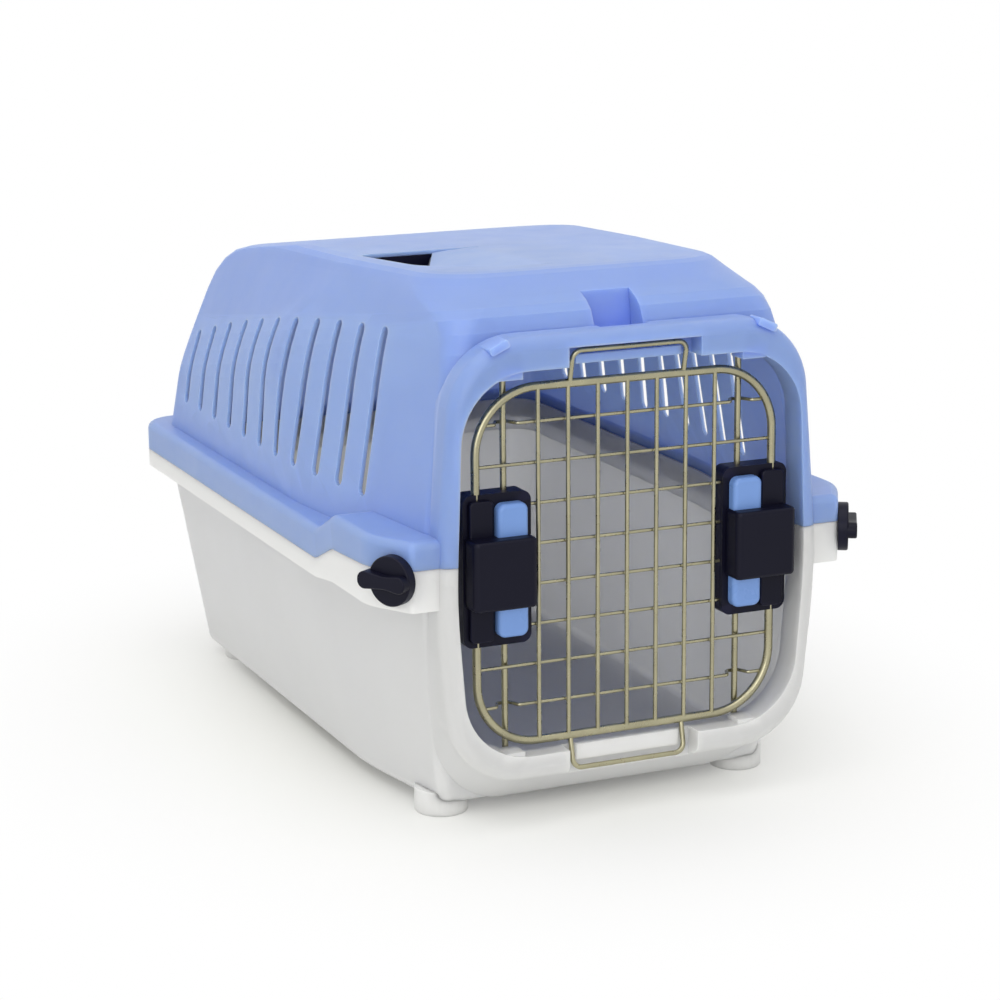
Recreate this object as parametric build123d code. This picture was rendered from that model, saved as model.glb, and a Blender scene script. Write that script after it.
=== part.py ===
from build123d import *
import math
import os

# Pet carrier with a wire front door. Millimetres. X runs across, the door faces -Y, Z is up.
# The origin lies on the ground under the middle of the carrier's outline.

# Overall layout
cover_face_y = -258.0
cover_proud = 6.0
collar_face_y = cover_face_y + cover_proud
door_back = 13.0
door_y = collar_face_y + door_back
flange_rear_y = 251.0
wall = 2.6
gap = 0.3

# Feet
foot_height = 8.0
foot_radius = 17.0
foot_x = 105.0
foot_front = 49.5
foot_rear = 425.0
foot_sink = 8.0

# Lower tub: half widths and distances behind the door plane
tub_bottom_front_half = 112.0
tub_bottom_half = 128.0
tub_bottom_front = 32.0
tub_bottom_wide = 120.0
tub_bottom_rear = 459.0
tub_bottom_corner = 20.0
tub_floor_radius = 8.0

# Body outline at the flange
body_front_half = 131.0
body_half = 149.5
body_front = 6.0
body_wide = 180.0
body_rear = 474.0
body_front_corner = 8.0
body_bend = 260.0
body_corner = 25.0
body_low_z = 143.0
body_foot_z = 175.0

# Soft crease below the roof
knee_front_half = 110.0
knee_half = 141.2
knee_front = 8.0
knee_wide = 263.0
knee_rear = 468.5
knee_front_z = 316.0
knee_rear_z = 220.3
knee_front_corner = 14.0
knee_corner = 20.0
knee_share_low = 0.24
knee_share_high = 0.4

# Roof edge, and the raised middle of the roof
roof_front_half = 105.7
roof_half = 112.1
roof_front = 42.4
roof_wide = 200.0
roof_rear = 451.0
roof_front_z = 331.0
roof_rear_z = 305.0
roof_front_corner = 46.0
roof_corner = 21.0
roof_share = 0.35
crown_front_half = 97.2
crown_half = 108.0
crown_front = 56.7
crown_rear = 303.0
crown_front_z = 337.5
crown_rear_z = 327.3
crown_front_corner = 38.0
crown_corner = 26.0
crown_edge = 8.0
edge_steps = 4
crown_steps = 2

# Flange round the middle, and its parting line
flange_half = 163.0
flange_bend = 34.0
flange_corner = 25.0
flange_bottom_z = 143.0
flange_edge_radius = 5.0
split_side_z = 155.0
split_step_low = 112.0
split_step_high = 82.0
split_step_z = 168.0
split_front_z = 175.0
split_step_radius = 18.0
rib_height = 12.0
rib_thickness = 2.0
rib_clearance = 0.4
rib_front = 114.0

# Front ears that carry the knobs
ear_half = 152.0
ear_angle = 30.0
ear_front = 5.0
ear_bottom_rise = 4.0
ear_top_z = 190.0
ear_edge_radius = 5.0

# Front collar and its opening
collar_half = 131.0
collar_top_half = 118.0
collar_bottom_half = 119.0
collar_top_z = 308.5
collar_bottom_z = 32.0
collar_corner = 48.0
collar_bend = 400.0
collar_widest_z = 150.0
collar_depth = 21.0
collar_edge_radius = 9.0
throat_half = 134.0
throat_top_half = 112.0
throat_top_z = 306.0
throat_depth = 46.0
fold_step = 0.5
opening_half = 118.8
opening_top_half = 113.5
opening_bottom_half = 111.0
opening_top_z = 288.5
opening_bottom_z = 48.5
opening_corner = 44.0
loop_pocket_half = 44.5
loop_pocket_top_z = 300.5
loop_pocket_bottom_z = 28.0
loop_pocket_depth = 13.6
pad_half = 35.5
pad_top_z = 294.0
pad_proud = 3.6
pad_bottom_z = 38.5
catch_inner_x = 74.0
catch_outer_x = 90.0
catch_proud_z = 5.0
catch_low_proud_z = 3.0
catch_face = 2.0
catch_shelf = 3.0
return_depth = 8.0
bump_x = 90.0
bump_length = 13.0
bump_depth = 14.0
bump_height = 2.5

# Side vents
vent_count = 11
vent_first = 96.6
vent_pitch = 33.0
vent_width = 9.5
vent_inner_x = 96.0
vent_bottom_z = 196.0
vent_top_z = 302.0
vent_top_drop = 22.0
vent_top_curve = 31.0

# Roof handle, measured along the roof's raised middle from its front edge
hand_left_x = -98.0
hand_near_x = -88.0
hand_bend_x = -50.0
hand_right_x = -12.0
hand_front = 23.0
hand_bend_y = 28.0
hand_shoulder = 61.0
hand_back = 141.0
hand_bend_radius = 60.0
hand_corner = 30.0
hand_tip = 8.0
hand_slit = 1.2
grip_front_x = -99.0
grip_back_x = -45.0
grip_bend = 306.0
grip_root = 3.0
cup_depth = 32.0
cup_reach_x = 24.0
cup_wall = 2.0
cup_rim = 8.0
cup_corner = 14.0
cup_screw_left_x = -70.0
cup_floor_radius = 6.0
liner_thickness = 1.6
liner_reach = 1.6
screw_radius = 1.5
screw_head_radius = 2.9
screw_head_height = 1.8

# Front pocket over the door
pocket_half = 16.6
pocket_front = 3.0
pocket_back = 33.0
pocket_floor_z = 299.0
pocket_back_lean = 6.0
pocket_hole_radius = 3.0
pocket_hole_x = 8.5

# Door grille
ring_half_width = 101.0
ring_top_z = 276.5
ring_bottom_z = 54.5
ring_corner = 40.0
ring_wire = 5.4
upright_wire = 2.8
cross_wire = 2.2
upright_pitch = 20.0
upright_count = 7
cross_pitch = 25.24
cross_count = 8
cross_first_z = 78.1
upright_offset = -1.1
cross_offset = 1.4
cross_bite = 1.5
kink_gap = 0.6
kink_slant = 4.0
loop_wire = 3.2
loop_half_width = 38.5
loop_lean = 5.0
loop_bend = 6.0
loop_top_z = 297.0
loop_bottom_z = 34.0

# Door latches
rod_x = 80.0
rod_offset = 6.0
rod_radius = 2.0
rod_engage = 5.0
rod_front_gap = 0.4
latch_travel = rod_engage + catch_proud_z + 1.5
latch_mid_z = 166.5
latch_height = 95.0
latch_inner_x = 65.6
latch_outer_x = 110.5
latch_corner = 6.0
plate_thickness = 2.6
arm_proud = 6.6
arm_inner_x = 91.4
arm_outer_x = 107.4
arm_end_inset = 3.5
block_inner_x = 67.7
block_outer_x = 109.6
block_height = 43.5
block_corner = 4.0
back_depth = 10.5
back_bulge = 5.5
back_bulge_half_height = 28.0
button_width = 20.0
button_proud = 10.0
button_end_inset = 5.8
button_under_cover = 2.0
neck_end_inset = 8.5
button_round = 3.0
neck_width = 10.0
neck_height = 13.0
spring_radius = 3.2
spring_wire = 0.8
spring_turns = 5
middle_rib = 2.0
neck_behind = 2.5
slide_gap = 0.4
spring_room = 25.0
channel_gap = 0.1
arm_edge_radius = 1.6
block_edge_radius = 2.6
button_end_radius = 5.0
rod_tip_chamfer = 0.6
latch_screw_x = 94.0
latch_screw_inset = 12.0
latch_screw_bite = 4.5

# Side turn knobs
knob_offset = 16.0
knob_z = 166.5
knob_radius = 15.5
knob_disc = 6.5
knob_thickness = 12.0
knob_bar_waist = 7.5
knob_bar_end = 12.0
knob_bar_overhang = 4.5
knob_edge_radius = 1.2
knob_screw_bite = 5.0
cam_radius = 7.0
cam_half_flat = 4.0
cam_length = 6.6
cam_gap = 1.0
keyhole_radius = 7.5
throat_gap = 0.3
tab_inset = 8.6
tab_thickness = 2.5
tab_half_width = 11.0
tab_window_gap = 2.0
stem_radius = 4.0

# Rear hinge
hinge_axis_gap = 2.6
hinge_axis_drop = 1.0
hinge_pin_radius = 2.0
hinge_spread_x = 92.0
hinge_ear_gap = 26.0
hinge_ear_thickness = 3.0
hinge_ear_radius = 4.4
hook_width = 22.0
hook_arm_low = 2.2
hook_arm_high = 7.0

# Places worked out from the sizes above
mirror_sides = (-1, 1)
rod_y = door_y + rod_offset
loop_front_y = door_y - loop_lean
latch_low_z = latch_mid_z - latch_height / 2
latch_high_z = latch_mid_z + latch_height / 2
block_low_z = latch_mid_z - block_height / 2
block_high_z = latch_mid_z + block_height / 2
plate_y = door_y - plate_thickness
knob_y = collar_face_y + knob_offset
ear_slope = math.tan(math.radians(ear_angle))
hinge_y = flange_rear_y + hinge_axis_gap
hinge_z = split_side_z - hinge_axis_drop


def solid_of(shape):
    """The largest solid of a shape, with loose slivers dropped."""
    return max(shape.solids(), key=lambda s: s.volume)


def box(x0, x1, y0, y1, z0, z1):
    """A box between two corners."""
    centre = Location(((x0 + x1) / 2, (y0 + y1) / 2, (z0 + z1) / 2))
    return centre * Box(abs(x1 - x0), abs(y1 - y0), abs(z1 - z0))


def rod(start, end, radius):
    """A round rod between two points."""
    a = Vector(*start)
    b = Vector(*end)
    plane = Plane(origin=a, z_dir=(b - a).normalized())
    return extrude(plane * Circle(radius), (b - a).length)


def rounded_polygon(points, radii):
    """A flat face with each corner rounded by its own radius."""
    face = make_face(Polyline(*points, close=True))
    for point, radius in zip(points, radii):
        if radius > 0:
            corner = face.vertices().sort_by_distance((point[0], point[1], 0))[0]
            face = fillet(corner, radius)
    return face


def plan_face(half_front, half_wide, y_front, y_wide, y_rear, r_front, r_side, r_rear):
    """A plan outline: narrower at the front, straight sides behind, rounded corners."""
    right = [(half_front, y_front), (half_wide, y_wide), (half_wide, y_rear)]
    left = [(-x, y) for x, y in reversed(right)]
    radii = [r_front, r_side, r_rear]
    return rounded_polygon(right + left, radii + radii[::-1])


def front_face(half_mid, half_top, half_bottom, z_top, z_bottom, corner, bend, z_mid):
    """An upright outline of the collar or its opening, drawn with Z as its second axis."""
    right = [(half_bottom, z_bottom), (half_mid, z_mid), (half_top, z_top)]
    left = [(-x, z) for x, z in reversed(right)]
    radii = [corner, bend, corner]
    return rounded_polygon(right + left, radii + radii[::-1])


def upright_prism(face, y0, y1):
    """A face drawn in X and Z, made solid from y0 back to y1."""
    plane = Plane(origin=(0, y1, 0), x_dir=(1, 0, 0), z_dir=(0, -1, 0))
    return extrude(plane * face, y1 - y0)


def side_prism(points, radii, x0, x1):
    """An outline drawn in Y and Z, made solid from x0 to x1."""
    face = rounded_polygon(points, radii)
    plane = Plane(origin=(x0, 0, 0), x_dir=(0, 1, 0), z_dir=(1, 0, 0))
    return extrude(plane * face, x1 - x0)


def level(face, z):
    """A plan outline moved up to a height."""
    return Pos(0, 0, z) * face


def sloped(face, y_front, z_front, y_rear, z_rear):
    """A plan outline lifted onto a plane that falls from front to rear."""
    slope = math.degrees(math.atan2(z_front - z_rear, y_rear - y_front))
    stretch = 1 / math.cos(math.radians(slope))
    along = Vector(0, y_rear - y_front, z_rear - z_front).normalized()
    normal = Vector(1, 0, 0).cross(along)
    plane = Plane(origin=(0, y_front, z_front), x_dir=(1, 0, 0), z_dir=normal)
    return plane * (Pos(0, -y_front * stretch, 0) * scale(face, by=(1, stretch, 1)))


def split_region(offset, above):
    """Everything above (or below) the parting line between tub and upper shell, moved up by offset."""
    reach = flange_rear_y + 40
    front = collar_face_y - 40
    top = 400 if above else -20
    points = [
        (reach, split_side_z + offset),
        (door_y + split_step_low, split_side_z + offset),
        (door_y + split_step_high, split_step_z + offset),
        (front, split_front_z + offset),
        (front, top),
        (reach, top),
    ]
    r = split_step_radius
    return side_prism(points, [0, r, r, 0, 0, 0], -220, 220)


def body_sizes(inset):
    """Sizes of the level outline at the flange: half widths, distances, corners, front and rear height."""
    return [
        body_front_half - inset, body_half - inset, body_front + inset, body_wide, body_rear - inset,
        body_front_corner, body_bend, body_corner - inset, body_foot_z, body_foot_z,
    ]


def tub_sizes(inset):
    """Sizes of the tub's floor outline."""
    return [
        tub_bottom_front_half - inset, tub_bottom_half - inset, tub_bottom_front + inset,
        tub_bottom_wide, tub_bottom_rear - inset, body_front_corner, body_bend,
        tub_bottom_corner - inset, foot_height + inset, foot_height + inset,
    ]


def knee_sizes(inset):
    """Sizes of the soft crease, which lies on a plane that falls to the rear."""
    return [
        knee_front_half - inset, knee_half - inset, knee_front + inset, knee_wide, knee_rear - inset,
        knee_front_corner, body_bend, knee_corner - inset, knee_front_z - inset / 2, knee_rear_z - inset / 2,
    ]


def roof_sizes(inset):
    """Sizes of the roof's edge, on its own falling plane."""
    return [
        roof_front_half - inset, roof_half - inset, roof_front + inset, roof_wide, roof_rear - inset,
        roof_front_corner - inset, body_bend, roof_corner - inset, roof_front_z - inset, roof_rear_z - inset,
    ]


def crown_sizes(inset):
    """Sizes of the roof's raised middle, on its own falling plane."""
    return [
        crown_front_half - inset, crown_half - inset, crown_front + inset, roof_wide, crown_rear - inset,
        crown_front_corner - inset, body_bend, crown_corner - inset,
        crown_front_z - inset, crown_rear_z - inset,
    ]


def drawn_in(sizes, step):
    """An outline drawn in by a step within its own plane."""
    half_front, half_wide, front, wide, rear, r_front, bend, r_rear, z_front, z_rear = sizes
    fall = (z_front - z_rear) / (rear - front) * step
    return [
        half_front - step, half_wide - step, front + step, wide, rear - step,
        r_front - step, bend, r_rear - step, z_front - fall, z_rear + fall,
    ]


def mix(a, b, t):
    """Sizes part of the way from a to b."""
    return [p + (q - p) * t for p, q in zip(a, b)]


def rounded_edge(before, edge, after, steps):
    """Sections that round an edge between two neighbouring sections."""
    sections = []
    for index in range(steps + 1):
        t = index / steps
        sections.append(mix(mix(before, edge, t), mix(edge, after, t), t))
    return sections


def outline(sizes):
    """The flat outline for a list of sizes, lifted onto its falling plane."""
    half_front, half_wide, front, wide, rear, r_front, bend, r_rear, z_front, z_rear = sizes
    face = plan_face(
        half_front, half_wide, door_y + front, door_y + wide, door_y + rear, r_front, bend, r_rear
    )
    return sloped(face, door_y + front, z_front, door_y + rear, z_rear)


def body_outline(inset):
    """The wall's plan outline at the flange, moved in by inset and laid on the ground."""
    return Pos(0, 0, -body_foot_z) * outline(body_sizes(inset))


def tub_stack(inset):
    """The tub from its floor to the flange, with a rounded bottom edge."""
    high = body_sizes(inset)
    high[-2:] = [body_low_z, body_low_z]
    sections = [tub_sizes(inset), high, body_sizes(inset)]
    body = loft([outline(sizes) for sizes in sections], ruled=True)
    return fillet(body.edges().group_by(Axis.Z)[0], tub_floor_radius - inset)


def crown_sections(inset):
    """Sections from the flange over the soft crease to the roof with its rounded edge."""
    foot = body_sizes(inset)
    knee = knee_sizes(inset)
    roof = roof_sizes(inset)
    soft_low = mix(knee, foot, knee_share_low)
    soft_high = mix(knee, roof, knee_share_high)
    crown = crown_sizes(inset)
    edge_low = mix(roof, knee, roof_share)
    edge_high = mix(roof, crown, roof_share)
    crown_low = mix(crown, roof, roof_share)
    crease = rounded_edge(soft_low, knee, soft_high, edge_steps)
    edge = rounded_edge(edge_low, roof, edge_high, edge_steps)
    middle = rounded_edge(crown_low, crown, drawn_in(crown, crown_edge), crown_steps)
    return [foot] + crease + edge + middle


def shell_stack(inset):
    """The carrier's body without collar and flange."""
    return tub_stack(inset) + loft([outline(sizes) for sizes in crown_sections(inset)], ruled=True)


def collar_outline(inset):
    """The collar's outer edge seen from the front, moved in by inset."""
    return front_face(
        collar_half - inset, collar_top_half - inset, collar_bottom_half - inset,
        collar_top_z - inset, collar_bottom_z + inset, collar_corner - inset, collar_bend, collar_widest_z,
    )


def opening_outline(inset):
    """The door opening's edge seen from the front, moved in by inset."""
    return front_face(
        opening_half - inset, opening_top_half - inset, opening_bottom_half - inset,
        opening_top_z - inset, opening_bottom_z + inset, opening_corner - inset, collar_bend, collar_widest_z,
    )


def throat_outline(inset):
    """The outline where the collar's lower fold meets the tub, further back."""
    return front_face(
        throat_half - inset, throat_top_half - inset, tub_bottom_front_half - inset,
        throat_top_z - inset, foot_height + inset, collar_corner - inset, collar_bend, collar_widest_z,
    )


def upright(face, y):
    """A face drawn in X and Z, stood up at a distance."""
    return Plane(origin=(0, y, 0), x_dir=(1, 0, 0), z_dir=(0, -1, 0)) * face


def collar_solid():
    """The collar and the fold that joins it to the body, rounded along its front edge."""
    ring = upright_prism(collar_outline(0), collar_face_y, collar_face_y + collar_depth)
    front_edges = ring.edges().group_by(Axis.Y)[0]
    ring = fillet(front_edges, collar_edge_radius)
    return ring + collar_fold(0)


def collar_fold(inset):
    """The slanting fold between the collar and the tub's front."""
    return loft([
        upright(collar_outline(fold_step + inset), collar_face_y + collar_edge_radius),
        upright(throat_outline(fold_step + inset), collar_face_y + throat_depth + inset),
    ], ruled=True)


def collar_void():
    """The hollow inside the collar and its fold."""
    ring = upright_prism(collar_outline(wall), collar_face_y + wall, collar_face_y + collar_depth + 2)
    front_edges = ring.edges().group_by(Axis.Y)[0]
    return fillet(front_edges, collar_edge_radius - wall) + collar_fold(wall)


def flange_outline(inset):
    """The plan outline of the flange, drawn in where it meets the ears."""
    ear_y = collar_face_y + ear_front
    right = [
        (ear_half - (knob_y - ear_y) * ear_slope - inset, ear_y + inset),
        (flange_half - inset, knob_y + (flange_half - ear_half) / ear_slope),
        (flange_half - inset, flange_rear_y - inset),
    ]
    left = [(-x, y) for x, y in reversed(right)]
    radii = [ear_edge_radius, flange_bend, flange_corner - inset]
    return rounded_polygon(right + left, radii + radii[::-1])


def flange_profile(drop, bottom):
    """The flange's side view: its top steps up in an S towards the front, its lower edge a little."""
    reach = flange_rear_y + 40
    front = collar_face_y - 40
    low = door_y + split_step_low
    high = door_y + split_step_high
    points = [
        (reach, body_foot_z - drop), (low, body_foot_z - drop), (high, ear_top_z - drop),
        (front, ear_top_z - drop), (front, bottom + ear_bottom_rise), (high, bottom + ear_bottom_rise),
        (low, bottom), (reach, bottom),
    ]
    r = split_step_radius
    return side_prism(points, [0, r, r, 0, 0, r, r, 0], -220, 220)


def flange_solid():
    """The flange's full outer block with its top edge rounded."""
    block = extrude(level(flange_outline(0), flange_bottom_z - 1), ear_top_z - flange_bottom_z + 2)
    block = solid_of(block & flange_profile(0, flange_bottom_z))
    tops = [face for face in block.faces() if face.normal_at(face.center()).Z > 0.7]
    rim = [edge for face in tops for edge in face.edges()]
    rim = [edge for edge in rim if sum(edge.is_same(other) for other in rim) == 1]
    return fillet(rim, flange_edge_radius)


def outer_body(stack):
    """The outside of both shells together."""
    body = stack + collar_solid()
    body += flange_solid()
    return body


def cabin_void():
    """The hollow of the cabin, up to the inside of every wall."""
    return shell_stack(wall) + collar_void()


def channel_void(stack):
    """The hollow under the flange, outside the cabin wall."""
    height = ear_top_z - flange_bottom_z + 20
    void = extrude(level(flange_outline(wall), flange_bottom_z - 10), height)
    void &= flange_profile(wall, flange_bottom_z - 20)
    return void - stack - collar_solid()


def return_ring():
    """The inner wall that runs back from the opening's edge."""
    y0 = collar_face_y + wall / 2
    y1 = door_y + return_depth
    return upright_prism(opening_outline(-wall), y0, y1) - upright_prism(opening_outline(0), y0 - 1, y1 + 1)


def opening_cut():
    """The door opening through the collar's front wall."""
    return upright_prism(opening_outline(0), collar_face_y - 1, door_y + return_depth + 2)


def lip_block(z0, z1):
    """Material behind a lip's middle, ready for the loop's recess."""
    half = loop_pocket_half + wall
    y1 = collar_face_y + loop_pocket_depth + wall
    return box(-half, half, collar_face_y + wall / 2, y1, z0, z1)


def lip_recess(z0, z1):
    """The recess that takes the door's wire loop."""
    y0 = collar_face_y - 5
    return box(-loop_pocket_half, loop_pocket_half, y0, collar_face_y + loop_pocket_depth, z0, z1)


def lip_pad(z0, z1):
    """The raised pad between the loop's legs."""
    y1 = collar_face_y + loop_pocket_depth + 1
    return box(-pad_half, pad_half, y1 - 1 - pad_proud, y1, z0, z1)


def catch_at(side, lip_z, way, proud):
    """A rod catch: a shelf behind the lip and a raised face in front of the rod."""
    x0 = side * catch_inner_x
    x1 = side * catch_outer_x
    split_y = rod_y - rod_radius - rod_front_gap
    shelf = box(x0, x1, split_y - 1, rod_y + rod_radius + wall, lip_z, lip_z + way * catch_shelf)
    front = box(x0, x1, collar_face_y + catch_face, split_y, lip_z - way * proud, lip_z + way * catch_shelf)
    return shelf + front


def catch_hole(side, lip_z, way):
    """The round hole that a latch rod enters."""
    z0 = lip_z - way * (catch_proud_z + 1)
    z1 = lip_z + way * (rod_engage + 3)
    return rod((side * rod_x, rod_y, z0), (side * rod_x, rod_y, z1), rod_radius + gap)


def corner_bump(side):
    """A small raised bar on the collar's upper corner."""
    centre_x = collar_top_half - collar_corner
    centre_z = collar_top_z - collar_corner
    lean = math.asin((bump_x - centre_x) / collar_corner)
    height = centre_z + collar_corner * math.cos(lean)
    bar = Box(bump_length, bump_depth, 2 * bump_height)
    bar = fillet(bar.edges().filter_by(Axis.Y), bump_height / 2)
    turn = Rot(0, side * math.degrees(lean), 0)
    return Pos(side * bump_x, collar_face_y + bump_depth / 2 - 1, height) * (turn * bar)


def locating_rib():
    """The rib on the tub that stands inside the upper shell's wall."""
    outer = wall + rib_clearance
    inner = outer + rib_thickness
    z0 = split_side_z - rib_height
    rib = extrude(level(body_outline(outer), z0), 2 * rib_height)
    rib -= extrude(level(body_outline(inner), z0 - 1), 2 * rib_height + 2)
    foot = extrude(level(body_outline(wall / 2), z0), rib_height - rib_thickness)
    foot -= extrude(level(body_outline(inner), z0 - 1), rib_height)
    rear_part = box(-220, 220, door_y + rib_front, flange_rear_y, 0, 400)
    return (rib + foot) & rear_part


def on_ear(shape):
    """A shape drawn along X at the right ear, turned a little to the front with the ear's face."""
    axis = Axis((ear_half, knob_y, 0), (0, 0, 1))
    return shape.rotate(axis, -ear_angle)


def keyhole_tab():
    """The tab that hangs from the right ear of the upper shell, with a keyhole for the knob's cam."""
    x0 = ear_half - tab_inset
    x1 = x0 + tab_thickness
    y0 = knob_y - tab_half_width
    y1 = knob_y + tab_half_width
    tab = box(x0, x1, y0, y1, knob_z - tab_half_width, ear_top_z - wall / 2)
    hole = rod((x0 - 1, knob_y, knob_z), (x1 + 1, knob_y, knob_z), keyhole_radius)
    throat = cam_half_flat + throat_gap
    slot = box(x0 - 1, x1 + 1, knob_y - throat, knob_y + throat, knob_z - tab_half_width - 1, knob_z)
    return on_ear(tab - hole - slot)


def ear_cut():
    """Room in the tub's right ear for the tab, the turning cam and the knob's stem."""
    x0 = ear_half - tab_inset - tab_window_gap
    x1 = ear_half - wall
    reach = tab_half_width + 1
    window = box(x0, x1, knob_y - reach, knob_y + reach, knob_z - tab_half_width - 2, split_front_z + 5)
    return on_ear(window + rod((x1 - 1, knob_y, knob_z), (ear_half + 5, knob_y, knob_z), stem_radius + gap))


def hinge_axis(x0, x1, radius):
    """A round bar on the lid's hinge axis."""
    return rod((x0, hinge_y, hinge_z), (x1, hinge_y, hinge_z), radius)


def hinge_lugs(x):
    """The two tub lugs that hold one hinge pin."""
    lugs = []
    for way in mirror_sides:
        x0 = x + way * hinge_ear_gap / 2
        x1 = x0 + way * hinge_ear_thickness
        lug = hinge_axis(x0, x1, hinge_ear_radius)
        lug += box(x0, x1, flange_rear_y - wall, hinge_y, hinge_z - hinge_ear_radius, hinge_z)
        lugs.append(lug)
    return lugs[0] + lugs[1]


def hinge_hook(x):
    """The hook of the upper shell that wraps round one pin."""
    x0 = x - hook_width / 2
    x1 = x + hook_width / 2
    hook = hinge_axis(x0, x1, hinge_ear_radius)
    arm_y = flange_rear_y - wall - 1
    hook += box(x0, x1, arm_y, hinge_y + 1, hinge_z + hook_arm_low, hinge_z + hook_arm_high)
    hook -= hinge_axis(x0 - 1, x1 + 1, hinge_pin_radius + gap)
    mouth = hinge_pin_radius - 0.2
    mouth_z = hinge_z - 2 * hinge_ear_radius
    return hook - box(x0 - 1, x1 + 1, hinge_y - mouth, hinge_y + mouth, mouth_z, hinge_z)


def hinge_notch(x):
    """Room in the tub's flange for one hook."""
    half = hook_width / 2 + 2 * gap
    y0 = hinge_y - hinge_ear_radius - 1.2
    return box(x - half, x + half, y0, hinge_y + 20, hinge_z - hinge_ear_radius - 2 * gap, split_side_z + 1)


def hinge_relief(x):
    """Room in the upper shell's flange for the lugs, and for its own swing."""
    half = hinge_ear_gap / 2 + hinge_ear_thickness + gap
    return hinge_axis(x - half, x + half, hinge_ear_radius + 2 * gap)


def make_lower_tub(outer, cabin, channel):
    """The white tub: floor, walls, lower half of the collar, lower flange and the locating rib."""
    tub = outer & split_region(0, False)
    tub = tub - cabin - (channel & split_region(-wall, False))
    tub = tub - opening_cut()
    tub += return_ring() & split_region(0, False)
    tub += lip_block(loop_pocket_bottom_z, opening_bottom_z) & outer
    tub -= lip_recess(loop_pocket_bottom_z, opening_bottom_z + 3)
    tub += lip_pad(pad_bottom_z, opening_bottom_z)
    tub += locating_rib()
    for side in mirror_sides:
        tub += catch_at(side, opening_bottom_z, -1, catch_low_proud_z)
        tub -= catch_hole(side, opening_bottom_z, -1)
        tub += hinge_lugs(side * hinge_spread_x)
        tub -= hinge_notch(side * hinge_spread_x)
        tub -= hinge_axis(side * hinge_spread_x - 20, side * hinge_spread_x + 20, hinge_pin_radius)
    tub -= ear_cut()
    return tub - other_side(ear_cut())


def vent_top(index):
    """The height of one vent's top: it falls from front to rear with the crease."""
    t = index / (vent_count - 1)
    return vent_top_z - vent_top_drop * t - vent_top_curve * t * t


def vent_cuts():
    """The upright vents in both side walls."""
    cuts = []
    for index in range(vent_count):
        y = door_y + vent_first + index * vent_pitch
        for side in mirror_sides:
            slot = box(
                side * vent_inner_x, side * (flange_half + 5), y - vent_width / 2, y + vent_width / 2,
                vent_bottom_z, vent_top(index),
            )
            cuts.append(fillet(slot.edges().filter_by(Axis.X), vent_width / 2 - 0.2))
    return cuts


def make_upper_shell(outer, cabin, channel):
    """The blue upper shell: roof, walls with vents, upper half of the collar and upper flange."""
    lid = outer & split_region(gap, True)
    lid = lid - cabin - channel - opening_cut()
    lid += return_ring() & split_region(gap, True)
    lid += lip_block(opening_top_z, loop_pocket_top_z + wall)
    lid -= lip_recess(opening_top_z - 3, loop_pocket_top_z)
    lid += lip_pad(opening_top_z, pad_top_z)
    lid += pocket_walls() & outer
    lid -= pocket_cut()
    for side in mirror_sides:
        lid += catch_at(side, opening_top_z, 1, catch_proud_z)
        lid -= catch_hole(side, opening_top_z, 1)
        lid += corner_bump(side) - cabin
        lid -= hinge_relief(side * hinge_spread_x)
        lid += hinge_hook(side * hinge_spread_x)
    lid += keyhole_tab()
    lid += other_side(keyhole_tab())
    for cut in vent_cuts():
        lid -= cut
    lid -= on_roof(hand_cut())
    lid += on_roof(grip_bar())
    lid -= on_roof(cup_screw_holes())
    return lid


def pocket_walls():
    """The walls round the small pocket over the door."""
    half = pocket_half + wall
    y0 = door_y + pocket_front - wall
    y1 = door_y + pocket_back + wall
    return box(-half, half, y0, y1, pocket_floor_z - wall, 400)


def pocket_cut():
    """The small pocket over the door, with a sloping back and a drain hole."""
    points = [
        (door_y + pocket_front, pocket_floor_z),
        (door_y + pocket_back - pocket_back_lean, pocket_floor_z),
        (door_y + pocket_back, roof_front_z + 5),
        (door_y + pocket_front, roof_front_z + 5),
    ]
    pocket = side_prism(points, [1.5, 1.5, 0, 0], -pocket_half, pocket_half)
    hole_y = door_y + pocket_front + pocket_hole_radius + 2
    low = (pocket_hole_x, hole_y, pocket_floor_z - wall - 1)
    high = (pocket_hole_x, hole_y, pocket_floor_z + 1)
    return pocket + rod(low, high, pocket_hole_radius)


def on_roof(shape):
    """A shape drawn flat, laid onto the roof's raised middle with its zero at the front edge."""
    fall = math.atan2(crown_front_z - crown_rear_z, crown_rear - crown_front)
    place = Location((0, door_y + crown_front, crown_front_z), (-math.degrees(fall), 0, 0))
    return place * shape


def hand_outline(inset, reach):
    """The finger opening's plan: a long left edge that bends round to a narrow front end."""
    points = [
        (hand_right_x + reach, hand_front + inset), (hand_bend_x, hand_bend_y + inset),
        (hand_near_x + inset, hand_shoulder), (hand_left_x + inset, hand_back - inset),
        (hand_right_x + reach, hand_back - inset),
    ]
    return rounded_polygon(points, [0, hand_bend_radius, hand_corner, hand_tip, 0])


def hand_cut():
    """The finger opening through the roof."""
    return extrude(level(hand_outline(0, 0), -wall - 2), wall + 6)


def grip_sheet(sink, thickness, inset, reach, grow):
    """A sheet in the opening that bends down from the roof to the grip's slanting edge."""
    right = hand_right_x + reach
    points = [
        (grip_front_x - grow, hand_front), (right, hand_front),
        (right, hand_back), (grip_back_x - grow, hand_back),
    ]
    plan = hand_outline(inset, reach) & make_face(Polyline(*points, close=True))
    low = (hand_right_x, hand_front, -grip_bend)
    high = (hand_right_x, hand_back, -grip_bend)
    sheet = rod(low, high, grip_bend - sink) - rod(low, high, grip_bend - sink - thickness)
    return sheet & extrude(level(plan, -cup_depth), cup_depth + 1)


def grip_bar():
    """The grip, which hangs on the roof along its right side."""
    return grip_sheet(0, wall, hand_slit, grip_root, 0)


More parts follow.
